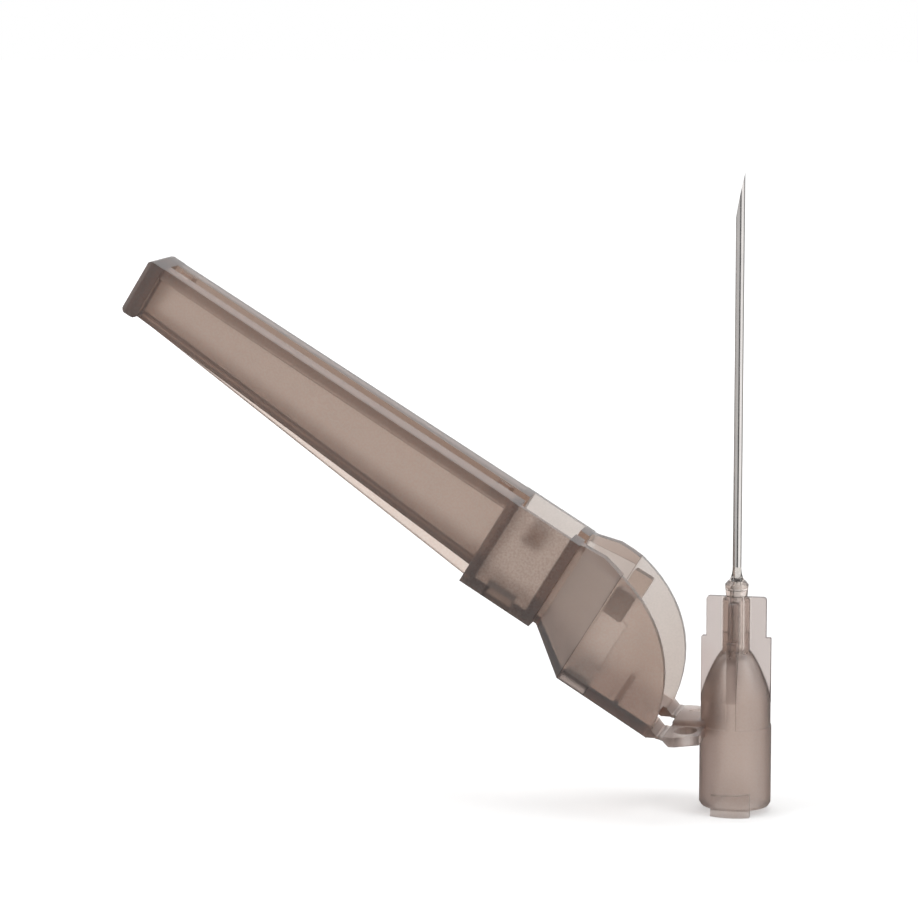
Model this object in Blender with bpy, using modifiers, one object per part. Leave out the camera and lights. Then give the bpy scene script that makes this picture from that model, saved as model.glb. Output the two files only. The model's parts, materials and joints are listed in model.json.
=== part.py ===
"""Safety hypodermic needle: a bevelled steel cannula bonded into a moulded luer hub, with a hinged shield
that swings over the needle. The origin is the centre of the luer mouth, +Z runs up the needle, and the
shield leans out towards -X. Units are metres."""

from math import atan2, cos, inf, pi, radians, sin, tan

import bmesh
import bpy
from mathutils import Matrix, Vector

# Cannula
CANNULA_OD = 0.00082
CANNULA_ID = 0.00051
EXPOSED_LENGTH = 0.0380
SEATED_LENGTH = 0.0060
BEVEL_ANGLE = 11.0
SIDE_BEVEL_ANGLE = 17.0
SIDE_BEVEL_TURN = 32.0

# Luer barrel and its taper shoulder
BARREL_RADIUS = 0.00336
BARREL_TOP_RADIUS = 0.00327
BARREL_LOWER_HEIGHT = 0.0077
BARREL_HEIGHT = 0.0102
BARREL_STEP = 0.0001
RIM_CHAMFER = 0.00018
RIM_CHAMFER_HEIGHT = 0.0003
SHOULDER_HEIGHT = 0.0045
SHOULDER_FULLNESS = 1.25
NECK_RADIUS = 0.00127
NECK_TOP = 0.0198
NOZZLE_FOOT_RADIUS = 0.00100
NOZZLE_RADIUS = 0.00110
NOZZLE_LIP_RADIUS = 0.00082
NOZZLE_SLOPE = 0.00035
NOZZLE_TOP = 0.0213
SOCKET_MOUTH = 0.00430
SOCKET_TAPER = 0.06
SOCKET_DEPTH = 0.0098
SOCKET_DOME = 0.0042
BOND_CLEARANCE = 0.0001
WELL_RADIUS = 0.00070
WELL_DEPTH = 0.0009
BEAD_HEIGHT = 0.0011
BEAD_EDGE = 0.00006

# Lugs that screw into a lock collar
LUG_REACH = 0.00392
LUG_WIDTH = 0.00365
LUG_HEIGHT = 0.00145
LUG_RISE = 0.0002
LUG_DROP = 0.0005

# Fins that stiffen the neck
FIN_TOP = 0.0198
FIN_STEP = 0.0160
FIN_REACH = 0.0028
FIN_ROOT_REACH = 0.00327
FIN_THICKNESS = 0.00065
RIB_THICKNESS = 0.0009
RIB_TOP = 0.0195
RIB_REACH = 0.0026
RIB_FOOT_REACH = 0.00334
FIN_CORNER = 0.00028
FIN_NICK = 0.0001

# Hinge plate on the side of the barrel
PLATE_TOP = 0.00765
PLATE_THICKNESS = 0.00092
PLATE_EDGE = 0.00575
PLATE_SHOULDER = 0.0047
PLATE_ROOT = 0.0026
HINGE_WIDTH = 0.0140
PLATE_ROOT_WIDTH = 0.0114
PLATE_EDGE_CHAMFER = 0.00048
BOSS_WIDTH = 0.0042
BOSS_HEIGHT = 0.00055
BOSS_SETBACK = 0.0001
BOSS_ROUND = 0.0002
PLATE_HOLE_LENGTH = 0.0032
PLATE_HOLE_WIDTH = 0.0021
PLATE_HOLE_OFFSET = 0.00395
PLATE_HOLE_SETBACK = 0.00412

# Living hinge: two straps either side of a slot
HINGE_OUT = 0.00635
HINGE_DROP = 0.0001
FOLD_THICKNESS = 0.00028
STRAP_SPLIT = 0.00032
STRAP_STEP = 0.00005
STRAP_SLOT_END = 0.00125
SHIELD_ANGLE = 31.8

# Shield, measured from the hinge line: stations run along it, levels run up from its closed back
EAR_WALL = 0.0008
EAR_START = 0.00080
EAR_CREASE = 0.0108
EAR_CREASE_WIDTH = 0.0120
EAR_BELLY = -0.0008
EAR_BELLY_ROOT = -0.00055
EAR_TOP = 0.0110
EAR_TOP_STATION = 0.0131
EAR_ARC_TOP = 0.0061
EAR_ARC_DROP = 0.0004
EAR_ARC_SIDE = 0.0067
EAR_ARC_LEAN = 0.0010
EAR_LOW_END = 0.0004
BACK_THICKNESS = 0.00095
NECK_FLOOR = 0.0006
LIP_THICKNESS = 0.0007
LIP_GAP_ROOT = 0.0048
LIP_GAP_END = 0.0093
LIP_FALL = 0.0004

PAD_START = 0.0157
PAD_LENGTH = 0.0078
PAD_WIDTH = 0.0084
PAD_WALL = 0.0008
PAD_END_WALL = 0.00105
PAD_FLOOR = 0.0010
PAD_LEVEL = 0.00134
PAD_WINDOW = 0.0027
PAD_WINDOW_WIDTH = 0.0028
PAD_NOTCH = 0.0004
PAD_STEP = 0.0004
PAD_NECK = 0.0006

CHANNEL_WIDTH_TIP = 0.0053
CHANNEL_WIDTH_ROOT = 0.0068
CHANNEL_WALL = 0.00085
CHANNEL_FLOOR = 0.0008
BACK_LEVEL_TIP = 0.00507
BACK_LEVEL_ROOT = 0.00297
KEEL_DEPTH_TIP = 0.0006
KEEL_DEPTH_ROOT = 0.00194
KEEL_THICKNESS = 0.0007
RIM_LEVEL = 0.01053
RIM_THICKNESS = 0.00105
RIM_OVERHANG = 0.0006
SLOT_WIDTH = 0.0022

CAP_END = 0.0648
CAP_THICKNESS = 0.0017
CAP_WIDTH = 0.0068
CAP_LEVEL = 0.00487
CAP_ROUND = 0.00045
CAP_FILLET = 0.0004

# Catches inside the shield
TAB_STATION = 0.0096
TAB_LENGTH = 0.0020
TAB_LOW = 0.0069
TAB_HIGH = 0.0096
TAB_DEPTH = 0.0013
TAB_FOOT_DEPTH = 0.0012
TAB_ROUND = 0.0002
SHUTOFF_START = 0.0079
SHUTOFF_WIDTH = 0.0015
SHUTOFF_GROOVE = 0.0001
GUSSET_STATION = 0.0049
GUSSET_THICKNESS = 0.00045
GUSSET_HEIGHT = 0.0030
GUSSET_DEPTH = 0.0018
HOOK_STATION = 0.0200
HOOK_LENGTH = 0.0019
HOOK_LOW = 0.0066
HOOK_HIGH = 0.0086
HOOK_CLEARANCE = 0.00065
NIB_LENGTH = 0.0020
NIB_DEPTH = 0.0005
NIB_INSET = 0.0015
NIB_LOW = 0.0008
NIB_HIGH = 0.0001

TURN_STEPS = 64
SHOULDER_STEPS = 8
DOME_STEPS = 10
BEAD_STEPS = 6
OVAL_STEPS = 24
OVERLAP = 0.0004
REACH = 0.003
TOUCH = 0.000001
SIDES = {"near": -1, "far": 1}


def clear_scene():
    for thing in list(bpy.data.objects):
        bpy.data.objects.remove(thing, do_unlink=True)
    for mesh in list(bpy.data.meshes):
        bpy.data.meshes.remove(mesh)


def new_collection(name):
    collection = bpy.data.collections.new(name)
    bpy.context.scene.collection.children.link(collection)
    return collection


def material(name, colour, roughness, metallic=0.0, transmission=0.0, ior=1.5):
    made = bpy.data.materials.new(name)
    made.use_nodes = True
    shader = made.node_tree.nodes["Principled BSDF"]
    shader.inputs["Base Color"].default_value = (*colour, 1.0)
    shader.inputs["Roughness"].default_value = roughness
    shader.inputs["Metallic"].default_value = metallic
    shader.inputs["Transmission Weight"].default_value = transmission
    shader.inputs["IOR"].default_value = ior
    made.diffuse_color = (*colour, 1.0)
    return made


def add_object(name, mesh, collection):
    made = bpy.data.objects.new(name, mesh)
    collection.objects.link(made)
    return made


def add_cutter(name, mesh):
    made = add_object(name, mesh, CUTTERS)
    made.hide_render = True
    made.display_type = "WIRE"
    return made


def mesh_from(name, build):
    """A new mesh filled by build(bm), with its faces pointing outwards."""
    bm = bmesh.new()
    build(bm)
    bmesh.ops.recalc_face_normals(bm, faces=bm.faces)
    mesh = bpy.data.meshes.new(name)
    bm.to_mesh(mesh)
    bm.free()
    return mesh


def box(name, x, y, z):
    """A box given by its (low, high) limits on each axis."""
    size = Vector((x[1] - x[0], y[1] - y[0], z[1] - z[0]))
    centre = Vector((x[0] + x[1], y[0] + y[1], z[0] + z[1])) / 2
    place = Matrix.Translation(centre) @ Matrix.Diagonal((*size, 1.0))
    return mesh_from(name, lambda bm: bmesh.ops.create_cube(bm, size=1.0, matrix=place))


def tapered_box(name, start, end, at_start, at_end):
    """A box along -X from station start to station end; each end has its own (half width, low, high)."""

    def build(bm):
        bmesh.ops.create_cube(bm, size=1.0)
        for v in bm.verts:
            half, low, high = at_start if v.co.x > 0 else at_end
            v.co = (
                -start if v.co.x > 0 else -end,
                half if v.co.y > 0 else -half,
                high if v.co.z > 0 else low,
            )

    return mesh_from(name, build)


def slab(name, points, low, high, upright=False, arcs=None, steps=10):
    """A flat outline between two levels: drawn in XY and raised along Z or, if upright, drawn in XZ and
    widened along Y. arcs gives, for the segment that starts at a point, its two handle positions."""
    arcs = arcs or {}
    curve = bpy.data.curves.new(name, "CURVE")
    curve.dimensions = "2D"
    curve.fill_mode = "BOTH"
    curve.extrude = (high - low) / 2
    curve.resolution_u = steps
    spline = curve.splines.new("BEZIER")
    spline.bezier_points.add(len(points) - 1)
    spline.use_cyclic_u = True
    for knot, point in zip(spline.bezier_points, points):
        knot.co = (*point, 0.0)
        knot.handle_left_type = knot.handle_right_type = "VECTOR"
    for start, (leaving, arriving) in arcs.items():
        first = spline.bezier_points[start]
        last = spline.bezier_points[(start + 1) % len(points)]
        first.handle_right_type = last.handle_left_type = "FREE"
        first.handle_right = (*leaving, 0.0)
        last.handle_left = (*arriving, 0.0)
    guide = bpy.data.objects.new(name, curve)
    CUTTERS.objects.link(guide)
    bpy.context.view_layer.update()
    mesh = bpy.data.meshes.new_from_object(guide.evaluated_get(bpy.context.evaluated_depsgraph_get()))
    bpy.data.objects.remove(guide)
    bpy.data.curves.remove(curve)
    middle = (low + high) / 2
    if upright:
        mesh.transform(Matrix.Translation((0, middle, 0)) @ Matrix.Rotation(pi / 2, 4, "X"))
    else:
        mesh.transform(Matrix.Translation((0, 0, middle)))
    bm = bmesh.new()
    bm.from_mesh(mesh)
    bmesh.ops.remove_doubles(bm, verts=bm.verts, dist=1e-7)
    bmesh.ops.dissolve_limit(bm, angle_limit=radians(0.2), verts=bm.verts, edges=bm.edges)
    bmesh.ops.recalc_face_normals(bm, faces=bm.faces)
    bm.to_mesh(mesh)
    bm.free()
    mesh.name = name
    return mesh


def turned(name, profile, collection):
    """A closed (radius, height) outline swept round Z. It runs down the outside and up the bore."""
    mesh = bpy.data.meshes.new(name)
    loop = [(i, (i + 1) % len(profile)) for i in range(len(profile))]
    mesh.from_pydata([(r, 0.0, z) for r, z in profile], loop, [])
    made = add_object(name, mesh, collection)
    if collection is CUTTERS:
        made.hide_render, made.display_type = True, "WIRE"
    sweep = made.modifiers.new("Turn", "SCREW")
    sweep.steps = sweep.render_steps = TURN_STEPS
    sweep.use_merge_vertices = True
    sweep.merge_threshold = 0.000001
    return made


def apply(made):
    """Turns an object's modifiers into its mesh."""
    bpy.context.view_layer.update()
    graph = bpy.context.evaluated_depsgraph_get()
    solid = bpy.data.meshes.new_from_object(made.evaluated_get(graph), depsgraph=graph)
    old = made.data
    made.modifiers.clear()
    made.data = solid
    bpy.data.meshes.remove(old)


def boolean(made, other, operation):
    step = made.modifiers.new(f"{operation.title()} {other.name}", "BOOLEAN")
    step.operation = operation
    step.solver = "EXACT"
    step.object = other
    other.parent = made


def join(made, *meshes):
    for mesh in meshes:
        boolean(made, add_cutter(mesh.name, mesh), "UNION")


def cut(made, *meshes):
    for mesh in meshes:
        boolean(made, add_cutter(mesh.name, mesh), "DIFFERENCE")


def rounded(mesh, width, segments=3, chosen=None):
    """Rounds the edges that chosen(edge) picks, or all of them."""
    bm = bmesh.new()
    bm.from_mesh(mesh)
    edges = [e for e in bm.edges if chosen is None or chosen(e)]
    bmesh.ops.bevel(bm, geom=edges, offset=width, segments=segments, profile=0.5, affect="EDGES")
    bm.to_mesh(mesh)
    bm.free()
    return mesh


def along_y(edge):
    a, b = (v.co for v in edge.verts)
    return abs(a.x - b.x) + abs(a.z - b.z) < TOUCH


def reaches(edge, x=inf, z=inf):
    """Whether the whole edge lies as far out as x and as low as z."""
    return all(v.co.x < x + TOUCH and v.co.z < z + TOUCH for v in edge.verts)


def socket_radius(height):
    return (SOCKET_MOUTH - SOCKET_TAPER * height) / 2


def hinge_height():
    return PLATE_TOP - HINGE_DROP


def half_strap(name, side, end, low, high):
    """Half of a hinge strap from the fold line at X = 0 to end, where it is as thick as its root."""
    start = STRAP_SPLIT / 2 if end > 0 else -STRAP_SPLIT / 2
    inside = end + OVERLAP if end > 0 else end - OVERLAP
    thin = FOLD_THICKNESS / 2
    outline = [(start, -thin), (end, low), (inside, low), (inside, high), (end, high), (start, thin)]
    near, far = sorted((side * BOSS_WIDTH / 2, side * HINGE_WIDTH / 2))
    return slab(name, outline, near, far, upright=True)


def hub():
    """Luer hub, turned body first, then its lugs, fins and the plate that carries the shield."""
    bore = CANNULA_OD / 2 + BOND_CLEARANCE
    crest = BARREL_HEIGHT + SHOULDER_HEIGHT
    swell, power = BARREL_TOP_RADIUS - NECK_RADIUS, 2 / SHOULDER_FULLNESS
    turns = [i / SHOULDER_STEPS * pi / 2 for i in range(1, SHOULDER_STEPS)]
    curve = [(NECK_RADIUS + swell * sin(t) ** power, BARREL_HEIGHT + SHOULDER_HEIGHT * cos(t) ** power)
             for t in turns]
    outside = [
        (WELL_RADIUS, NOZZLE_TOP),
        (NOZZLE_LIP_RADIUS, NOZZLE_TOP),
        (NOZZLE_RADIUS, NOZZLE_TOP - NOZZLE_SLOPE),
        (NOZZLE_FOOT_RADIUS, NECK_TOP),
        (NECK_RADIUS, NECK_TOP - (NECK_RADIUS - NOZZLE_FOOT_RADIUS)),
        (NECK_RADIUS, crest),
        *curve,
        (BARREL_TOP_RADIUS, BARREL_HEIGHT),
        (BARREL_TOP_RADIUS, BARREL_LOWER_HEIGHT),
        (BARREL_RADIUS, BARREL_LOWER_HEIGHT - BARREL_STEP),
        (BARREL_RADIUS, RIM_CHAMFER_HEIGHT),
        (BARREL_RADIUS - RIM_CHAMFER, 0.0),
    ]
    room = socket_radius(SOCKET_DEPTH) - bore
    turns = [i / DOME_STEPS * pi / 2 for i in range(DOME_STEPS + 1)]
    inside = [
        (socket_radius(0.0), 0.0),
        *[(bore + room * cos(t), SOCKET_DEPTH + SOCKET_DOME * sin(t)) for t in turns],
        (bore, NOZZLE_TOP - WELL_DEPTH),
        (WELL_RADIUS, NOZZLE_TOP - WELL_DEPTH),
    ]
    body = turned("hub", outside + inside, PARTS)
    apply(body)

    core = (NECK_RADIUS + bore) / 2
    for side, turn in (("right", 0), ("rear", 90), ("left", 180), ("front", 270)):
        rib = side in ("front", "rear")
        top = RIB_TOP if rib else FIN_TOP
        reach = RIB_REACH if rib else FIN_REACH
        root = RIB_FOOT_REACH if rib else FIN_ROOT_REACH
        foot = BARREL_LOWER_HEIGHT - OVERLAP if rib else BARREL_HEIGHT - OVERLAP
        thick = RIB_THICKNESS if rib else FIN_THICKNESS
        outline = [
            (core, top),
            (reach - FIN_CORNER, top),
            (reach, top - FIN_CORNER),
            (reach, FIN_STEP),
            (root - FIN_NICK, FIN_STEP),
            (root, FIN_STEP - FIN_NICK),
            (root, foot),
            (socket_radius(0.0) + OVERLAP, foot),
            (socket_radius(0.0) + OVERLAP, BARREL_HEIGHT),
            (core, crest),
        ]
        corner = {1: ((reach - FIN_CORNER / 2, top), (reach, top - FIN_CORNER / 2))}
        fin = slab(f"fin_{side}", outline, -thick / 2, thick / 2, upright=True, arcs=corner, steps=4)
        fin.transform(Matrix.Rotation(radians(turn), 4, "Z"))
        join(body, fin)

    inner = (socket_radius(0.0) + BARREL_RADIUS) / 2
    half, top = LUG_WIDTH / 2, LUG_HEIGHT + LUG_RISE
    for side, turn in (("front", 0), ("rear", 180)):
        outline = [(-half, -LUG_DROP), (half, -LUG_DROP), (half, top), (-half, LUG_HEIGHT)]
        block = slab(f"lug_{side}", outline, -LUG_REACH - OVERLAP, -inner, upright=True)
        lug = add_cutter(block.name, block)
        ring = [(inner / 2, -REACH), (LUG_REACH, -REACH), (LUG_REACH, REACH), (inner / 2, REACH)]
        boolean(lug, turned(f"lug_ring_{side}", ring, CUTTERS), "INTERSECT")
        apply(lug)
        lug.data.transform(Matrix.Rotation(radians(turn), 4, "Z"))
        boolean(body, lug, "UNION")

    inner = -socket_radius(PLATE_TOP) - OVERLAP
    half, root_half = HINGE_WIDTH / 2, PLATE_ROOT_WIDTH / 2
    plan = [(-PLATE_EDGE, half), (-PLATE_SHOULDER, half), (-PLATE_ROOT, root_half), (-PLATE_ROOT, -root_half)]
    plan += [(-PLATE_SHOULDER, -half), (-PLATE_EDGE, -half)]
    low = PLATE_TOP - PLATE_THICKNESS
    plate = slab("hinge_plate", plan, low, PLATE_TOP)
    rounded(plate, PLATE_EDGE_CHAMFER, 1, lambda e: reaches(e, x=-PLATE_EDGE, z=low))
    join(body, plate)
    levels = (low + BOSS_SETBACK, PLATE_TOP + BOSS_HEIGHT)
    boss = box("hinge_boss", (-PLATE_EDGE + BOSS_SETBACK, inner), (-BOSS_WIDTH / 2, BOSS_WIDTH / 2), levels)
    rounded(boss, BOSS_ROUND, 2, lambda e: all(v.co.z > PLATE_TOP for v in e.verts))
    join(body, boss)

    for name, side in SIDES.items():
        levels = (low + PLATE_EDGE_CHAMFER + STRAP_STEP - hinge_height(), HINGE_DROP - STRAP_STEP)
        strap = half_strap(f"strap_root_{name}", side, HINGE_OUT - PLATE_EDGE, *levels)
        strap.transform(Matrix.Translation((-HINGE_OUT, 0, hinge_height())))
        join(body, strap)
        r, long = PLATE_HOLE_WIDTH / 2, PLATE_HOLE_LENGTH / 2
        hole = slab(f"plate_hole_{name}", oval(r, long), low - REACH, PLATE_TOP + REACH)
        hole.transform(Matrix.Translation((-PLATE_HOLE_SETBACK, side * PLATE_HOLE_OFFSET, 0)))
        cut(body, hole)
    return body


def oval(r, long):
    turns = [2 * pi * i / OVAL_STEPS for i in range(OVAL_STEPS)]
    return [(r * cos(t), long * sin(t)) for t in turns]


def cannula():
    """Steel tube with a lancet point whose bevel faces the shield."""
    r, bore = CANNULA_OD / 2, CANNULA_ID / 2
    tip = NOZZLE_TOP + EXPOSED_LENGTH
    foot = NOZZLE_TOP - SEATED_LENGTH
    tube = turned("cannula", [(bore, tip + REACH), (r, tip + REACH), (r, foot), (bore, foot)], PARTS)
    apply(tube)

    def grind(name, angle, turn, height):
        """A block that keeps only what is below a plane through the far side of the tube."""
        block = box(name, (-EXPOSED_LENGTH, 0.0), (-REACH, REACH), (-EXPOSED_LENGTH, EXPOSED_LENGTH))
        block.transform(Matrix.Rotation(radians(angle), 4, "Y"))
        block.transform(Matrix.Translation((r, 0, height)))
        block.transform(Matrix.Rotation(radians(turn), 4, "Z"))
        return block

    cut(tube, grind("grind_main", BEVEL_ANGLE, 0, tip))
    for name, side in SIDES.items():
        height = tip + r * (1 - cos(radians(SIDE_BEVEL_TURN))) / tan(radians(SIDE_BEVEL_ANGLE))
        cut(tube, grind(f"grind_side_{name}", SIDE_BEVEL_ANGLE, side * SIDE_BEVEL_TURN, height))
    return tube


def adhesive():
    """Clear bead that bonds the cannula into the nozzle's well."""
    inner = CANNULA_OD / 2 + BOND_CLEARANCE
    outer = WELL_RADIUS - BOND_CLEARANCE
    base = NOZZLE_TOP - WELL_DEPTH + BOND_CLEARANCE
    crown = NOZZLE_TOP + BEAD_HEIGHT
    fall = [(outer - inner - BEAD_EDGE) * (1 - i / BEAD_STEPS) ** 2 for i in range(BEAD_STEPS + 1)]
    slope = [(inner + BEAD_EDGE + f, NOZZLE_TOP + BEAD_HEIGHT * i / BEAD_STEPS) for i, f in enumerate(fall)]
    return turned("adhesive", slope[::-1] + [(outer, base), (inner, base), (inner, crown)], PARTS)


def shield():
    """Shield in its own frame: the hinge line is Y, its stations run along -X and its open side faces +Z."""
    pad_end = PAD_START + PAD_LENGTH

    def mirrored(half):
        return half + [(x, -y) for x, y in reversed(half)]

    def about(half, middle=0.0):
        return (middle - half, middle + half)

    outer = mirrored([
        (-EAR_START, HINGE_WIDTH / 2),
        (-EAR_CREASE, EAR_CREASE_WIDTH / 2),
        (PAD_NECK - PAD_START, PAD_WIDTH / 2 - PAD_STEP),
        (-PAD_START, PAD_WIDTH / 2 - PAD_STEP),
        (-PAD_START, PAD_WIDTH / 2),
        (-pad_end, PAD_WIDTH / 2),
    ])
    made = add_object("shield", slab("shield", outer, EAR_BELLY - REACH, EAR_TOP + REACH), PARTS)
    rise_start = (-PAD_START + PAD_NOTCH, PAD_LEVEL + PAD_NOTCH * 1.3)
    profile = [
        (-EAR_START, EAR_BELLY_ROOT),
        (-EAR_CREASE, EAR_BELLY),
        rise_start,
        (-PAD_START, PAD_LEVEL + PAD_NOTCH * 1.3),
        (-PAD_START, PAD_LEVEL),
        (-pad_end, PAD_LEVEL),
        (-pad_end, RIM_LEVEL),
        (-PAD_START, RIM_LEVEL),
        (-EAR_TOP_STATION, EAR_TOP),
        (-EAR_START, EAR_LOW_END),
    ]
    leaving = (EAR_ARC_TOP - EAR_TOP_STATION, EAR_TOP - EAR_ARC_DROP)
    arriving = (-EAR_START - EAR_ARC_LEAN, EAR_LOW_END + EAR_ARC_SIDE)
    arc = {8: (leaving, arriving)}
    silhouette = slab("ear_profile", profile, -HINGE_WIDTH, HINGE_WIDTH, upright=True, arcs=arc, steps=14)
    boolean(made, add_cutter("ear_profile", silhouette), "INTERSECT")

    flare = atan2(EAR_CREASE_WIDTH / 2 - PAD_WIDTH / 2 + PAD_STEP, PAD_START - PAD_NECK - EAR_CREASE)
    slant = EAR_WALL / cos(flare)
    inside = mirrored([
        (REACH, HINGE_WIDTH / 2 - EAR_WALL),
        (-EAR_CREASE, EAR_CREASE_WIDTH / 2 - EAR_WALL),
        (PAD_NECK - PAD_START, PAD_WIDTH / 2 - PAD_STEP - slant),
        (-PAD_START, PAD_WIDTH / 2 - PAD_STEP - slant),
    ])
    ears = add_cutter("ear_space", slab("ear_space", inside, EAR_BELLY - REACH, EAR_TOP + REACH))
    floor = EAR_BELLY_ROOT + BACK_THICKNESS
    ear_room = [
        (REACH, floor),
        (-EAR_START, floor),
        (-EAR_CREASE, EAR_BELLY + BACK_THICKNESS),
        (rise_start[0], rise_start[1] + NECK_FLOOR),
        (-PAD_START, rise_start[1] + NECK_FLOOR),
        (-PAD_START, RIM_LEVEL - LIP_THICKNESS),
        (-EAR_CREASE, EAR_TOP - LIP_THICKNESS - LIP_FALL),
        (-EAR_CREASE, EAR_TOP + REACH),
        (REACH, EAR_TOP + REACH),
    ]
    ear_room = slab("ear_room", ear_room, -HINGE_WIDTH, HINGE_WIDTH, upright=True)
    boolean(ears, add_cutter("ear_room", ear_room), "INTERSECT")
    join(ears, box("strap_slot", (-STRAP_SLOT_END, REACH), about(BOSS_WIDTH / 2), about(REACH, EAR_BELLY)))
    apply(ears)
    boolean(made, ears, "DIFFERENCE")

    above = (floor + REACH, EAR_TOP + REACH)
    gap = ((LIP_GAP_END / 2, *above), (LIP_GAP_ROOT / 2, *above))
    pad_middle = -PAD_START - PAD_LENGTH / 2
    room = (about(PAD_LENGTH / 2 - PAD_END_WALL, pad_middle), about(PAD_WIDTH / 2 - PAD_WALL))
    window = (about(PAD_WINDOW / 2, pad_middle), about(PAD_WINDOW_WIDTH / 2))
    cut(
        made,
        tapered_box("lip_gap", EAR_CREASE - OVERLAP / 2, PAD_START, *gap),
        box("pad_space", *room, (PAD_LEVEL + PAD_FLOOR, EAR_TOP + REACH)),
        box("pad_window", *window, about(REACH, PAD_LEVEL)),
    )

    cap_start = CAP_END - CAP_THICKNESS
    tip, root = CHANNEL_WIDTH_TIP / 2, CHANNEL_WIDTH_ROOT / 2

    def between(at_root, at_tip, station):
        return at_root + (at_tip - at_root) * (station - pad_end) / (cap_start - pad_end)

    def rung(name, start, end, grow, low, high, wide=None):
        """A tapered length of the channel; low and high are (root, tip) levels and grow widens it."""
        ends = []
        for station in (start, end):
            half = wide if wide is not None else between(root, tip, station) + grow
            ends.append((half, between(*low, station), between(*high, station)))
        return tapered_box(name, start, end, *ends)

    back = (BACK_LEVEL_ROOT, BACK_LEVEL_TIP)
    keel = (BACK_LEVEL_ROOT - KEEL_DEPTH_ROOT, BACK_LEVEL_TIP - KEEL_DEPTH_TIP)
    keel_top = tuple(level + OVERLAP for level in back)
    rim = (RIM_LEVEL, RIM_LEVEL)
    under_rim = (RIM_LEVEL - RIM_THICKNESS,) * 2
    over_rim = (RIM_LEVEL + REACH,) * 2
    floors = tuple(level + CHANNEL_FLOOR for level in back)
    first, last = pad_end - OVERLAP, cap_start + OVERLAP
    join(
        made,
        rung("channel", first, last, 0.0, back, (RIM_LEVEL - OVERLAP,) * 2),
        rung("rim", first, last, RIM_OVERHANG, under_rim, rim),
        rung("keel", first, last, 0.0, keel, keel_top, wide=KEEL_THICKNESS / 2),
    )
    cap = box("cap", (-CAP_END, -cap_start), about(CAP_WIDTH / 2), (CAP_LEVEL, RIM_LEVEL))
    rounded(cap, CAP_ROUND, 3, lambda e: reaches(e, x=-CAP_END) or along_y(e) and reaches(e, z=CAP_LEVEL))
    fillet = (
        (tip - OVERLAP / 2, BACK_LEVEL_TIP + OVERLAP / 2, RIM_LEVEL - OVERLAP),
        (tip + CAP_FILLET, BACK_LEVEL_TIP, RIM_LEVEL - OVERLAP),
    )
    fillet_start = cap_start - CAP_FILLET - OVERLAP / 2
    join(made, cap, tapered_box("cap_fillet", fillet_start, cap_start + OVERLAP, *fillet))
    cut(
        made,
        rung("channel_space", pad_end, cap_start, -CHANNEL_WALL, floors, under_rim),
        rung("slot", PAD_START - OVERLAP, cap_start, 0.0, floors, over_rim, wide=SLOT_WIDTH / 2),
    )

    def face(station):
        """Inner face of the ear at a station."""
        share = (station - EAR_START) / (EAR_CREASE - EAR_START)
        return (HINGE_WIDTH + (EAR_CREASE_WIDTH - HINGE_WIDTH) * share) / 2 - EAR_WALL

    for name, sign in SIDES.items():
        if name == "far":
            length = about(HOOK_LENGTH / 2, -HOOK_STATION)
            width = (HOOK_CLEARANCE, PAD_WIDTH / 2 - PAD_WALL / 2)
            join(made, box("needle_hook", length, width, (HOOK_LOW, HOOK_HIGH)))
        for place, station in (("tip", cap_start - NIB_INSET), ("root", pad_end + NIB_INSET)):
            reach = SLOT_WIDTH / 2
            plan = [
                (-station - NIB_LENGTH / 2, sign * (reach + OVERLAP / 2)),
                (-station - NIB_LENGTH / 4, sign * (reach - NIB_DEPTH)),
                (-station + NIB_LENGTH / 4, sign * (reach - NIB_DEPTH)),
                (-station + NIB_LENGTH / 2, sign * (reach + OVERLAP / 2)),
            ]
            join(made, slab(f"nib_{place}_{name}", plan, RIM_LEVEL - NIB_LOW, RIM_LEVEL - NIB_HIGH))

        def catch(stations, levels, depths):
            """A block on the ear's inner face with its own depth at each level."""

            def build(bm):
                bmesh.ops.create_cube(bm, size=1.0)
                for v in bm.verts:
                    station, top, inward = stations[v.co.x < 0], v.co.z > 0, v.co.y * sign < 0
                    depth = depths[top] if inward else -EAR_WALL / 2
                    v.co = (-station, sign * (face(station) - depth), levels[top])

            return mesh_from("catch", build)

        tab_start, tab_end = about(TAB_LENGTH / 2, TAB_STATION)
        plan = [
            (-SHUTOFF_START, sign * (face(SHUTOFF_START) + SHUTOFF_GROOVE)),
            (-SHUTOFF_START, sign * (face(SHUTOFF_START) - SHUTOFF_WIDTH)),
            (-tab_end, sign * (face(tab_end) - SHUTOFF_WIDTH)),
            (-tab_end, sign * (face(tab_end) + SHUTOFF_GROOVE)),
        ]
        cut(made, slab(f"tab_shutoff_{name}", plan, EAR_BELLY - REACH, TAB_LOW + OVERLAP / 2))
        tab = catch((tab_start, tab_end), (TAB_LOW, TAB_HIGH), (TAB_FOOT_DEPTH, TAB_DEPTH))
        rounded(tab, TAB_ROUND, 3, along_y)
        tab.name = f"tab_{name}"
        stations = about(GUSSET_THICKNESS / 2, GUSSET_STATION)
        gusset = catch(stations, (floor - OVERLAP, floor + GUSSET_HEIGHT), (GUSSET_DEPTH, GUSSET_DEPTH / 2))
        gusset.name = f"gusset_{name}"
        levels = (EAR_BELLY_ROOT + STRAP_STEP, EAR_BELLY_ROOT + BACK_THICKNESS - STRAP_STEP)
        strap = half_strap(f"strap_end_{name}", sign, -EAR_START, *levels)
        join(made, tab, gusset, strap)
    made.location = (-HINGE_OUT, 0.0, hinge_height())
    made.rotation_euler.y = radians(SHIELD_ANGLE)
    return made


clear_scene()
PARTS = new_collection("safety_needle")
CUTTERS = new_collection("safety_needle_cutters")

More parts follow.
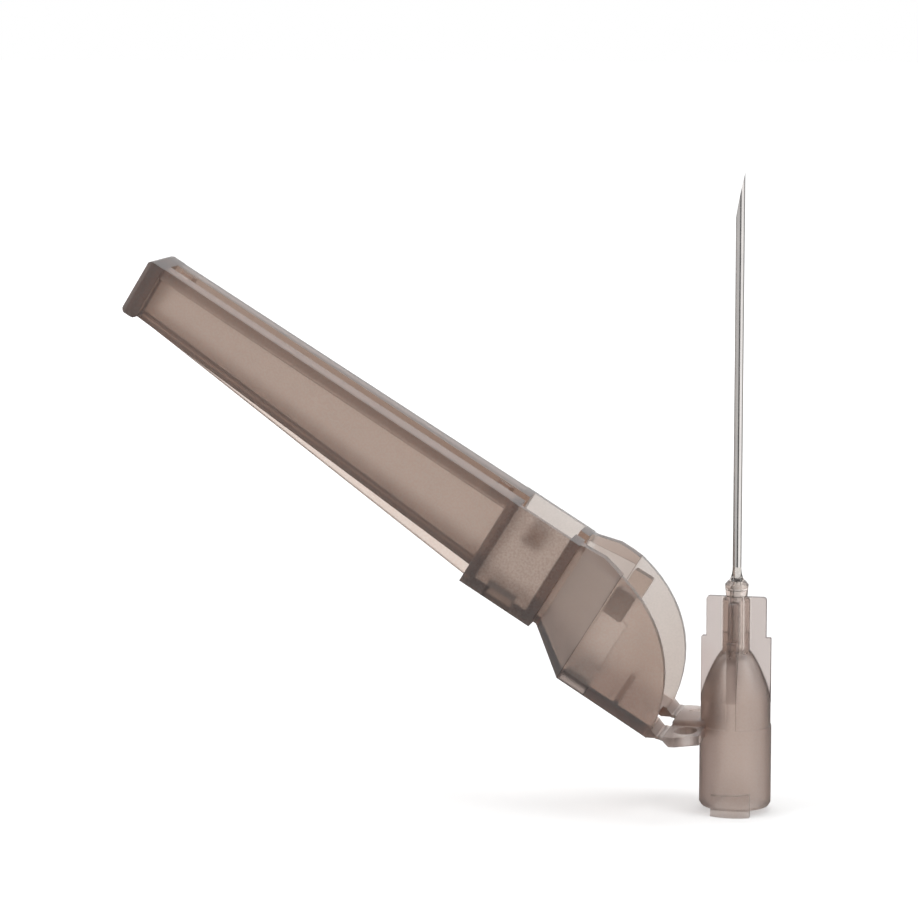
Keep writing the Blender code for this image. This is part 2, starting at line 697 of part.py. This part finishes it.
smoke = material("smoke_tinted_polypropylene", (0.33, 0.24, 0.20), 0.28, transmission=0.75, ior=1.49)
steel = material("stainless_steel", (0.62, 0.62, 0.63), 0.22, metallic=1.0)
resin = material("clear_adhesive", (0.80, 0.76, 0.72), 0.08, transmission=0.9, ior=1.5)
for piece, look in ((hub(), smoke), (shield(), smoke), (cannula(), steel), (adhesive(), resin)):
    piece.data.materials.append(look)
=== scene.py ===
# %% [markdown]
# # Safety hypodermic needle
#
# A steel needle stands in a moulded hub, and a smoke-tinted plastic shield leans away from it on a living
# hinge. The CAD model already has the true shapes, so this lesson loads it as a fixed frame and spends its
# effort on what the eye reads next: how light passes through tinted plastic, how a drawn tube reflects a
# studio, and how one thin web of plastic bends where the two mouldings meet.

# %% Load the frame
import json
from math import cos, pi, radians, sin

import bmesh
import bpy
from mathutils import Matrix, Vector


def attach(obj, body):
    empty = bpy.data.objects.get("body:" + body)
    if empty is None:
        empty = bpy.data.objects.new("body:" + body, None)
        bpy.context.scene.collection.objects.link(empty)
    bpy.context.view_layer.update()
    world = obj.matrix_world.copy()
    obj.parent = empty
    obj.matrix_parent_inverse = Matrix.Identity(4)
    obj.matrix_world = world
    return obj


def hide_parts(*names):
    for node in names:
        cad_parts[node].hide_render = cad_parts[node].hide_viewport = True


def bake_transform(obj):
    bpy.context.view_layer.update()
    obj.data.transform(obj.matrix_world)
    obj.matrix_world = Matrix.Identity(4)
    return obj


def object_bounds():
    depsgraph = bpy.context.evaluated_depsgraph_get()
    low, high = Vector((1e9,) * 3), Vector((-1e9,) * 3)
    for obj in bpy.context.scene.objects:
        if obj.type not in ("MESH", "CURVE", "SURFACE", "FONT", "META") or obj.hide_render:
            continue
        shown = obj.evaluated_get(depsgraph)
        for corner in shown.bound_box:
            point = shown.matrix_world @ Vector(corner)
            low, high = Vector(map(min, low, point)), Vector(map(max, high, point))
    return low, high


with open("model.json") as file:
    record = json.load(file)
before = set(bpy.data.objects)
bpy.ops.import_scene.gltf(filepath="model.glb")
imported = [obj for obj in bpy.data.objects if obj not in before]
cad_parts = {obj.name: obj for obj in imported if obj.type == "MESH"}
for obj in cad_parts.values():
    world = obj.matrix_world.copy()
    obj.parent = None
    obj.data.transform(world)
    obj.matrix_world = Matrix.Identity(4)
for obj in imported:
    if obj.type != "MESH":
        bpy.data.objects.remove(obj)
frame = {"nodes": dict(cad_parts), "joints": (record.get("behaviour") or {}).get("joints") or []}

MM = 0.001
LEAN = radians(31.8)  # how far the shield rises above level at rest
cad_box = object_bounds()
hinge = next(joint for joint in frame["joints"] if joint["name"] == "shield_hinge")
HINGE = Vector(hinge["pos_m"])

# %% [markdown]
# ## Shading helpers
#
# A material in Blender is a graph of nodes. Written out link by link it is hard to read, so a small class
# wraps one output socket and lets Python's own operators add the Math nodes. `1 - mask` then reads as it
# would on paper. A mask is a value that is 1 inside a region and 0 outside, and most of them come from a
# soft step along one axis.


# %% One wrapped socket
class Wire:
    """An output socket. Arithmetic on it adds Math nodes to its tree."""

    def __init__(self, tree, socket):
        self.tree, self.socket = tree, socket

    def math(self, operation, *values):
        """Any Math node, with the values on its sockets in order."""
        return self.tree.node("ShaderNodeMath", {"operation": operation}, dict(enumerate(values)))

    def __add__(self, other):
        return self.math("ADD", self, other)

    def __radd__(self, other):
        return self.math("ADD", other, self)

    def __sub__(self, other):
        return self.math("SUBTRACT", self, other)

    def __rsub__(self, other):
        return self.math("SUBTRACT", other, self)

    def __mul__(self, other):
        return self.math("MULTIPLY", self, other)

    def __rmul__(self, other):
        return self.math("MULTIPLY", other, self)

    def __abs__(self):
        return self.math("ABSOLUTE", self)

    def larger(self, other):
        """The larger of the two, which joins two masks into one."""
        return self.math("MAXIMUM", self, other)

    def above(self, edge, soft):
        """0 below the edge and 1 above it, with a soft step between."""
        return self.tree.node(
            "ShaderNodeMapRange",
            {"interpolation_type": "SMOOTHSTEP"},
            {"Value": self, "From Min": edge - soft / 2, "From Max": edge + soft / 2},
        )

    def below(self, edge, soft):
        """1 below the edge and 0 above it, with a soft step between."""
        return 1.0 - self.above(edge, soft)

    def between(self, low, high, soft):
        """1 from low to high and 0 outside, with a soft step at each end."""
        return self.above(low, soft) * self.below(high, soft)


print("wire operators: + - * abs, and the soft steps above, below and between")

# %% [markdown]
# Every other node goes through one `node` method, which takes the node's type, its settings and its inputs.
# Colours never pass through a Math node, because it would turn them grey. They are mixed. Numbers that don't
# change over the surface are worked out in Python and need no node.


# %% A tree that makes nodes
class Graph:
    """A node tree that is written as expressions."""

    def __init__(self, tree):
        self.nodes, self.links = tree.nodes, tree.links

    def node(self, kind, settings=None, sockets=None, out=0):
        made = self.nodes.new(kind)
        for name, value in (settings or {}).items():
            if name == "stops":
                ramp = made.color_ramp.elements
                while len(ramp) < len(value):
                    ramp.new(1.0)
                for stop, (place, colour) in zip(ramp, value):
                    stop.position, stop.color = place, (*colour, 1.0)
            else:
                setattr(made, name, value)
        for name, value in (sockets or {}).items():
            self.feed(made.inputs[name], value)
        return Wire(self, made.outputs[out])

    def feed(self, socket, value):
        """Link a wire to the socket, or set a plain value on it."""
        if isinstance(value, Wire):
            self.links.new(value.socket, socket)
        else:
            socket.default_value = value

    def split(self, vector):
        """The three axes of a vector, as three wires."""
        first = self.node("ShaderNodeSeparateXYZ", sockets={0: vector})
        return [Wire(self, socket) for socket in first.socket.node.outputs]

    def mix(self, share, low, high):
        """The colour low where share is 0, and high where it is 1."""
        low, high = ((*c, 1.0) if isinstance(c, tuple) else c for c in (low, high))
        return self.node("ShaderNodeMix", {"data_type": "RGBA"}, {0: share, 6: low, 7: high}, out=2)

    def layers(self, colour, *laid):
        """The colour with others laid over it in order, each given as its mask and its own colour."""
        for mask, over in laid:
            colour = self.mix(mask, colour, over)
        return colour

    def ray(self, *kinds):
        """1 for light paths of the kinds named, and 0 for the others."""
        made = self.node("ShaderNodeLightPath").socket.node
        first, *others = [Wire(self, made.outputs[f"Is {kind} Ray"]) for kind in kinds]
        for other in others:
            first = first.larger(other)
        return first


print("mixing and light paths are ready in", Graph.__name__)

# %% [markdown]
# A finish is a material with its one Principled shader. It knows the point being shaded, so that noise and
# masks can be laid out on the part itself, and move with it.


# %% A material
class Finish(Graph):
    """A new material with its Principled shader, ready to be wired."""

    def __init__(self, name, **fixed):
        self.material = bpy.data.materials.new(name)
        self.material.use_nodes = True
        super().__init__(self.material.node_tree)
        self.set(**fixed)

    def set(self, **inputs):
        for name, value in inputs.items():
            self.feed(self.nodes["Principled BSDF"].inputs[name.replace("_", " ")], value)

    def place(self):
        """The point being shaded, in the part's own metres."""
        return self.node("ShaderNodeTexCoord", out="Object")

    def millimetres(self):
        """The same point as x, y and z in millimetres."""
        return [axis * (1 / MM) for axis in self.split(self.place())]

    def noise(self, scale, detail, stretch=(1, 1, 1)):
        """Noise from 0 to 1. A stretch below 1 draws it out along that axis."""
        place = self.node("ShaderNodeVectorMath", {"operation": "MULTIPLY"}, {0: self.place(), 1: stretch})
        return self.node("ShaderNodeTexNoise", sockets={"Vector": place, "Scale": scale, "Detail": detail})

    def bump(self, height, distance, edge=None):
        """Relief in the surface. A radius in edge makes corners catch the light as rounded ones do."""
        relief = {"Height": height, "Distance": distance}
        if edge:
            relief["Normal"] = self.node("ShaderNodeBevel", {"samples": 6}, {"Radius": edge})
        self.set(Normal=self.node("ShaderNodeBump", sockets=relief))


print("helpers:", Wire.__name__, Graph.__name__, Finish.__name__)

# %% [markdown]
# ## Smoke-tinted polypropylene
#
# Thin plastic like this is dark only where light has travelled far inside it: one wall is pale, two walls
# are brown, and an edge seen end on is nearly black. A surface colour can't do that, so the tint is a
# volume absorption. Mould texture makes the surface rough, which blurs whatever lies behind a wall, and a
# little of the light is scattered back by the plastic itself, which is what the milk stands for.

# %% The tinted plastic
GRAIN_SCALE, GRAIN_CONTRAST, GRAIN_DEPTH = 4800.0, 4.5, 0.004 * MM
CLOUD_SCALE = 700.0
ROUGHER_BY_GRAIN, ROUGHER_BY_CLOUD = 0.10, 0.08
SOFT_CORNER = 0.12 * MM
MILK = 0.08


def tinted_plastic(name, colour, density, roughness):
    """A finish, its mottle and its roughness. The mottle is slow clouds under a strong frosted grain."""
    made = Finish(name, IOR=1.49, Transmission_Weight=1.0 - MILK)
    smoke = made.node("ShaderNodeVolumeAbsorption", sockets={"Color": (*colour, 1.0), "Density": density})
    made.feed(made.nodes["Material Output"].inputs["Volume"], smoke)
    grain = made.noise(GRAIN_SCALE, detail=2.0)
    cloud = made.noise(CLOUD_SCALE, detail=3.0)
    made.bump(grain, GRAIN_DEPTH, edge=SOFT_CORNER)
    mottle = cloud + (grain - 0.5) * GRAIN_CONTRAST
    matt = roughness + (grain - 0.5) * ROUGHER_BY_GRAIN + (cloud - 0.5) * ROUGHER_BY_CLOUD
    return made, mottle, matt


hub_finish, hub_mottle, hub_matt = tinted_plastic(
    "smoke_plastic_hub", colour=(0.55, 0.40, 0.315), density=500.0, roughness=0.34
)
shield_finish, shield_mottle, shield_matt = tinted_plastic(
    "smoke_plastic_shield", colour=(0.55, 0.385, 0.275), density=900.0, roughness=0.33
)
print("tinted plastics:", hub_finish.material.name, shield_finish.material.name)

# %% [markdown]
# ## Shading of the hub
#
# A rough surface scatters light, so some features of the real hub look darker than their thickness alone
# would make them: the fins and ribs, the left of the neck and of the barrel, and the hinge plate. Each has
# a mask, laid out in millimetres, and a tint of painted shade. The tint counts at every surface that the
# light crosses, so it stays mild. The neck and the nozzle are polished in the mould, and the plate is the
# roughest.

# %% Where the features of the hub lie, in millimetres
NECK, DOME_TOP, PLATE = 1.3, 10.2, -3.4
FIN_HALF, RIB_HALF = 0.36, 0.47
HAIR, CRISP, SOFT = 0.04, 0.1, 0.2  # widths of a mask's edge
x, y, z = hub_finish.millimetres()
on_neck = z.above(DOME_TOP, SOFT)
# Painted shade: the fins and ribs are darkened in colour.
fins = abs(y).below(FIN_HALF, HAIR) * abs(x).above(NECK, CRISP) * on_neck
ribs = abs(x).below(RIB_HALF, HAIR) * abs(y).above(NECK, CRISP) * on_neck
# The plate's mask makes it the roughest and also lays painted shade on it.
hinge_plate = x.below(PLATE, SOFT)
# Painted shade: the left of the neck and the left of the barrel are darkened in colour.
neck_left_painted_shade = x.below(-0.3, 0.8) * abs(x).below(NECK, CRISP) * z.above(14.0, 1.0)
barrel_left_painted_shade = x.below(-2.0, 1.8) * z.below(15.0, 2.0) * (1.0 - hinge_plate)
polished_neck, polished_nozzle = z.above(15.0, 3.0) * 0.55, z.above(19.8, SOFT) * 0.30
polish = (polished_neck + polished_nozzle) * abs(x).below(NECK + 0.1, CRISP)
print("masks on the hub: fins, ribs, hinge plate, left of the neck, left of the barrel, polish")

# %% [markdown]
# The mottle comes first, and the painted shade of each feature is laid over it at its own strength.

# %% Finish of the hub, with painted shade on its features
hub_mottle_and_painted_shade = hub_finish.layers(
    hub_finish.mix(hub_mottle, (0.96, 0.925, 0.90), (1.0, 0.985, 0.97)),
    (fins.larger(ribs), (0.70, 0.655, 0.64)),
    (neck_left_painted_shade * 0.6, (0.62, 0.56, 0.53)),
    (barrel_left_painted_shade * 0.8, (0.68, 0.61, 0.59)),
    (hinge_plate * 0.7, (0.80, 0.75, 0.73)),
)
hub_finish.set(Base_Color=hub_mottle_and_painted_shade, Roughness=hub_matt * (1.0 - polish) + hinge_plate * 0.2)
print("hub finish:", len(hub_finish.nodes), "nodes")

# %% [markdown]
# ## Shading of the shield
#
# The shield leans, so its features are laid out along its own two lines from the fold: `station` runs out
# towards the end cap, and `level` rises across it to the open rim. The near wall is painted warmer than the
# far one, which is seen through less plastic; both walls are one plastic, so that difference is painted
# light.
# The crease, lips, tabs and the notches under the belly are edges where light is trapped, and the shade there
# is painted on, as it is on the flare, the belly, the straps, the window in the pad and the far rim. The
# finger pad is coarser.

# %% Where the features of the shield lie, in millimetres
CREASE, EAR_END, BELLY_RISE = 10.8, 15.3, 0.59
x, y, z = shield_finish.millimetres()
x, z = x - HINGE.x / MM, z - HINGE.z / MM
station = z * sin(LEAN) - x * cos(LEAN)
level = x * sin(LEAN) + z * cos(LEAN)
past_crease = station.above(CREASE, CRISP)
before_pad = station.below(EAR_END, SOFT)
far_side = y.above(1.2, 1.0)
near_side = 1.0 - far_side

# The strap mask makes the straps rougher and also lays painted shade on them.
strap = station.below(1.0, SOFT)
# A painted dark line of shade along the crease.
crease = station.between(CREASE - 0.05, CREASE + 0.05, HAIR) * abs(y).above(5.1, CRISP)
# Painted shade on the flare.
flare_painted_shade = past_crease * station.below(15.0, SOFT)
# Painted shade on the lips.
lips_painted_shade = past_crease * before_pad * level.above(9.8, CRISP)
# Painted shade in the notches under the belly.
notches_painted_shade = station.between(7.8, 10.6, CRISP) * level.below(0.25, SOFT)
tab_depth = y.above(-5.1, CRISP) * y.below(-3.0, SOFT)
# Painted shade on the near tab.
near_tab_painted_shade = station.between(8.6, 10.6, CRISP) * level.between(7.0, 9.6, CRISP) * tab_depth
# Painted shade along the bottom of the belly.
above_belly = level - (station - CREASE).larger(0.0) * BELLY_RISE
belly_painted_shade = above_belly.below(0.2, 0.4) * before_pad
finger_pad = station.between(16.2, 23.0, SOFT) * near_side * (1.1 - shield_mottle)
# Painted shade over the window in the pad.
pad_window_painted_shade = station.between(18.1, 21.1, SOFT) * level.below(3.1, 0.4) * near_side
# Painted grey shade on the far rim.
far_rim_painted_shade = station.above(23.5, SOFT) * level.above(8.6, 0.4) * far_side
print("shield laid out from the fold: crease at", CREASE, "mm, ears end at", EAR_END, "mm")

# %% [markdown]
# Each wall has its own mottle, and the tints of painted shade are laid over them in the same way. The painted
# dark line of the crease comes last, since it is a thin line that crosses the others.

# %% Finish of the shield, with its painted light and shade
# The warmer near wall and the cooler far wall are painted light on one plastic; the mottle on each is its
# own.
near_wall_mottle_painted_warm = shield_finish.mix(shield_mottle, (0.955, 0.87, 0.825), (1.0, 0.96, 0.925))
far_wall_mottle_painted_cool = shield_finish.mix(shield_mottle, (0.875, 0.905, 0.915), (0.945, 0.965, 0.975))
shield_mottle_and_painted_light = shield_finish.layers(
    shield_finish.mix(far_side, near_wall_mottle_painted_warm, far_wall_mottle_painted_cool),
    (finger_pad * 0.5, (0.66, 0.60, 0.57)),
    (far_rim_painted_shade * 0.7, (0.70, 0.71, 0.72)),
    (belly_painted_shade * 0.7, (1.0, 0.80, 0.76)),
    (pad_window_painted_shade * 0.8, (0.42, 0.42, 0.43)),
    (near_tab_painted_shade, (0.42, 0.40, 0.40)),
    (flare_painted_shade * 0.8, (0.69, 0.65, 0.625)),
    (lips_painted_shade * 0.8, (0.72, 0.68, 0.66)),
    (notches_painted_shade * 0.8, (0.28, 0.26, 0.25)),
    (strap * 0.7, (0.80, 0.75, 0.72)),
    (crease, (0.42, 0.37, 0.35)),
)
shield_finish.set(Base_Color=shield_mottle_and_painted_light, Roughness=shield_matt + strap * 0.2)
print("shield finish:", len(shield_finish.nodes), "nodes")

# %% [markdown]
# ## Drawn steel
#
# Needle tube is pulled through a die, which leaves hair-fine lines along its length. They could be cut into
# the mesh, but noise stretched hard along Z costs nothing and gives the same lines. They vary the roughness a
# little, so that the long highlight breaks up.

# %% Steel
LINE_DEPTH = 0.0015 * MM
steel = Finish("needle_steel", Metallic=1.0)
draw_lines = steel.noise(26000.0, detail=3.0, stretch=(1.0, 1.0, 0.02))
stain = steel.noise(500.0, detail=2.0)
steel_tint = steel.mix(stain, (0.60, 0.60, 0.61), (0.74, 0.73, 0.72))
steel.set(Base_Color=steel_tint, Roughness=0.12 + draw_lines * 0.14)
steel.bump(draw_lines, LINE_DEPTH)
print("steel finish:", steel.material.name)

# %% [markdown]
# ## Clear adhesive
#
# The adhesive is a drop of cured resin: clear, smooth and a little yellow. A drop this small shows no
# texture, so the shader's plain inputs are enough.

# %% Adhesive
resin = Finish("clear_adhesive", IOR=1.5, Transmission_Weight=1.0, Roughness=0.04)
resin.set(Base_Color=(0.93, 0.90, 0.87, 1.0))
print("adhesive finish:", resin.material.name)

# %% [markdown]
# ## Finishes on the CAD model
#
# The mouldings and the tube come from the frame as facets. Smooth shading hides the facets on the round
# faces, and a limit on the angle keeps the real corners sharp, so no shape has to be built again.

# %% Give each CAD node its finish
SHARP_FROM = radians(28)
for name, finish in (("hub", hub_finish), ("shield", shield_finish), ("cannula", steel), ("adhesive", resin)):
    mesh = frame["nodes"][name].data
    mesh.materials.clear()
    mesh.materials.append(finish.material)
    mesh.shade_smooth()
    mesh.set_sharp_from_angle(angle=SHARP_FROM)
    print(name, "wears", finish.material.name)

# %% [markdown]
# ## The fold of the living hinge
#
# The two straps are one web of plastic on the real part. The CAD splits each at the fold line so that both
# halves can move, so a thin web closes the gap here, in slices that turn from the hub's strap to the
# shield's.


# %% Put an object into the scene
def add_object(name, data):
    made = bpy.data.objects.new(name, data)
    bpy.context.scene.collection.objects.link(made)
    return made


def add_piece(name, bm, material):
    """The piece that a bmesh describes, with its faces turned outwards."""
    bmesh.ops.recalc_face_normals(bm, faces=bm.faces)
    mesh = bpy.data.meshes.new(name)
    bm.to_mesh(mesh)
    bm.free()
    mesh.materials.append(material)
    return add_object(name, mesh)


# %% Fold webs
WEB_REACH, WEB_THICK, WEB_SLICES = 0.24 * MM, 0.26 * MM, 10
STRAP_INSIDE, STRAP_OUTSIDE = 2.15 * MM, 6.95 * MM
TO_HUB, TO_SHIELD = Vector((1, 0, 0)), Vector((-cos(LEAN), 0, sin(LEAN)))


def fold_web(name, low, high):
    """A web from y low to y high, in slices that follow the hub's strap to the fold and then the shield's."""
    bm = bmesh.new()
    slices = []
    for i in range(WEB_SLICES + 1):
        share = i / WEB_SLICES
        turn, way = LEAN * share, share * 2 - 1
        centre = HINGE + (TO_HUB * -way if way < 0 else TO_SHIELD * way) * WEB_REACH
        up = Vector((sin(turn), 0, cos(turn))) * WEB_THICK / 2
        corners = ((up, low), (up, high), (-up, high), (-up, low))
        slices.append([bm.verts.new(centre + lift + Vector((0, y, 0))) for lift, y in corners])
    for a, b in zip(slices, slices[1:]):
        for i in range(4):
            bm.faces.new((a[i], a[(i + 1) % 4], b[(i + 1) % 4], b[i]))
    bm.faces.new(slices[0])
    bm.faces.new(slices[-1])
    web = add_piece(name, bm, shield_finish.material)
    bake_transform(web)
    return web


print("web", fold_web("fold_web_near", -STRAP_OUTSIDE, -STRAP_INSIDE).name)
print("web", fold_web("fold_web_far", STRAP_INSIDE, STRAP_OUTSIDE).name)

# %% [markdown]
# ## The bead of adhesive
#
# Adhesive creeps up the needle before it sets, so its top is a hollow curve and not a cone. The CAD bead
# keeps a gap to its neighbours. This one wets both the needle and the lip of the nozzle, and is turned
# round the needle like a pot on a wheel.


# %% Adhesive meniscus
RINGS, AROUND, HOLLOW = 12, 48, 2.6
SHARP_RIM = radians(40)


def meniscus(name, foot, waist, low, lip, high):
    """A turned skirt: up from low to the lip at the radius foot, then a hollow curve to the waist at high."""
    outline = [(waist, low), (foot, low)]
    for i in range(RINGS + 1):
        t = i / RINGS
        outline.append((waist + (foot - waist) * (1 - t) ** HOLLOW, lip + (high - lip) * t))
    bm = bmesh.new()
    columns = []
    for i in range(AROUND):
        turn = 2 * pi * i / AROUND
        columns.append([bm.verts.new((r * cos(turn), r * sin(turn), z)) for r, z in outline])
    for a, b in zip(columns, columns[1:] + columns[:1]):
        for i in range(len(outline)):
            j = (i + 1) % len(outline)
            bm.faces.new((a[i], b[i], b[j], a[j]))
    made = add_piece(name, bm, resin.material)
    made.data.shade_smooth()
    made.data.set_sharp_from_angle(angle=SHARP_RIM)
    return made


bead = meniscus(
    "adhesive_meniscus", foot=0.74 * MM, waist=0.415 * MM, low=20.6 * MM, lip=21.28 * MM, high=22.6 * MM
)
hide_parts("adhesive")
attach(bead, "hub")
print("meniscus faces:", len(bead.data.polygons))

# %% [markdown]
# ## Studio
#
# The photograph has a white sweep, soft light and hardly any shadow. The floor takes the lamps' light, and
# gives a little of its own, more with distance, so that it stays white and still shows the lamps' shadow
# round the foot. Close to the foot it gives a little less of its own, which paints a soft shadow there too.
# That light is for the camera only, seen straight or through the plastic, so it doesn't light the part from
# below.

# %% Floor, level with the lowest point of the lugs
GLOW, PAINTED_SHADOW_AT_FOOT, MORE_FAR_OFF = 0.41, 0.06, 0.35
BLACK, WHITE = (0.0, 0.0, 0.0), (1.0, 1.0, 1.0)
bpy.ops.mesh.primitive_plane_add(size=6.0, location=(0, 0, cad_box[0][2]))
floor = bpy.context.object
floor.name = "studio_floor"
floor.visible_glossy = False
paper = Finish("studio_paper", Roughness=0.9, Specular_IOR_Level=0.0)
x, y, _ = paper.split(paper.place())
away = x.math("SQRT", x * x + y * y)
# The dip in glow close to the foot is a painted shadow; the rise far off keeps the floor evenly white.
glow = GLOW - away.below(0.008, 0.014) * PAINTED_SHADOW_AT_FOOT + away.above(0.25, 0.30) * MORE_FAR_OFF
seen_glow = paper.mix(paper.ray("Camera", "Transmission") * glow, BLACK, WHITE)
paper.set(Base_Color=(0.82, 0.82, 0.82, 1.0), Emission_Color=seen_glow, Emission_Strength=1.0)
floor.data.materials.append(paper.material)
print("floor at", round(cad_box[0][2] / MM, 2), "mm")

# %% [markdown]
# A round steel tube shows the whole studio squeezed into its width, so the world is painted for it: by
# compass bearing from the camera there is a grey wall on the left, a dark gap where the camera stands, a
# bright panel on the right, and a dark back. Flat tops reflect a pale ceiling instead. Light that passes
# through the plastic finds a white band that falls off overhead and to the left, and the light that falls
# on the part is a plain grey.

# %% World
AZIMUTH = radians(12.78)  # the camera's bearing, to the right of straight on
PANELS = (
    (-180, 0.20), (-140, 0.30), (-120, 0.62), (-22, 0.70), (-11, 0.07), (16, 0.05),
    (27, 1.3), (82, 1.2), (100, 0.40), (140, 0.24), (180, 0.20),
)
CEILING, FILL = (0.86, 0.85, 0.86), (0.42, 0.42, 0.42)
DIM_OVERHEAD, DIM_LEFT = 0.65, 0.45
GREEN_SHARE, BLUE_SHARE = 0.96, 0.93  # what makes the walls' grey a warm one

world = bpy.data.worlds.new("studio")
bpy.context.scene.world = world
world.use_nodes = True
sky = Graph(world.node_tree)
x, y, z = sky.split(sky.node("ShaderNodeTexCoord"))
right = x * cos(AZIMUTH) + y * sin(AZIMUTH)
towards = x * sin(AZIMUTH) - y * cos(AZIMUTH)
bearing = x.math("ARCTAN2", right, towards) * (0.5 / pi) + 0.5
stops = [
    (0.5 + degrees / 360, (grey, grey * GREEN_SHARE, grey * BLUE_SHARE)) for degrees, grey in PANELS
]
walls = sky.node("ShaderNodeValToRGB", {"stops": stops}, {0: bearing})
reflected = sky.mix(z.above(0.03, 0.10), walls, CEILING)
band = (1.0 - abs(z).above(0.55, 0.6) * DIM_OVERHEAD) * (1.0 - right.below(-0.3, 0.6) * DIM_LEFT)
behind = sky.mix(band, BLACK, WHITE)
shown = sky.layers(WHITE, (sky.ray("Transmission"), behind), (sky.ray("Glossy"), reflected))
shown = sky.mix(sky.ray("Camera", "Transmission", "Glossy"), FILL, shown)
sky.feed(sky.nodes["Background"].inputs["Color"], shown)
print("world:", len(PANELS), "stops by bearing")

# %% [markdown]
# Three soft boxes give the plastic its gentle highlights and the floor its faint shadow. They hang left,
# right and above, and all of them point at the middle of the part.

# %% Lamps
AIM = Vector((-0.0248, -0.0077, 0.0331))


def soft_box(name, place, size, power):
    light = bpy.data.lights.new(name, "AREA")
    light.shape = "RECTANGLE"
    light.size, light.size_y = size
    light.energy = power
    lamp = add_object(name, light)
    lamp.location = place
    lamp.rotation_euler = (AIM - Vector(place)).to_track_quat("-Z", "Y").to_euler()
    print(name, power, "W")


soft_box("soft_box_left", (-0.45, -0.25, 0.40), (0.30, 0.40), 1.2)
soft_box("soft_box_right", (0.50, -0.10, 0.35), (0.25, 0.40), 0.9)
soft_box("soft_box_top", (-0.02, 0.15, 0.60), (0.40, 0.40), 1.1)

# %% [markdown]
# ## Camera
#
# The camera stands where the photograph was taken from: a long lens, a little to the right and slightly
# above. Its bearing, height, roll and length were fitted to points on the hub, the needle and the shield.

# %% Camera
ELEVATION, ROLL, DISTANCE = radians(8.25), radians(-0.14), 0.30
back = Vector((sin(AZIMUTH) * cos(ELEVATION), -cos(AZIMUTH) * cos(ELEVATION), sin(ELEVATION)))
lens = bpy.data.cameras.new("camera")
lens.sensor_width = 36.0
lens.lens = 127.7
camera = add_object("camera", lens)
camera.matrix_world = (
    Matrix.Translation(AIM + back * DISTANCE)
    @ Matrix.Rotation(AZIMUTH, 4, "Z")
    @ Matrix.Rotation(pi / 2 - ELEVATION, 4, "X")
    @ Matrix.Rotation(ROLL, 4, "Z")
)
bpy.context.scene.camera = camera
bpy.context.scene.view_settings.view_transform = "Standard"
print("camera:", lens.lens, "mm lens at", DISTANCE, "m")
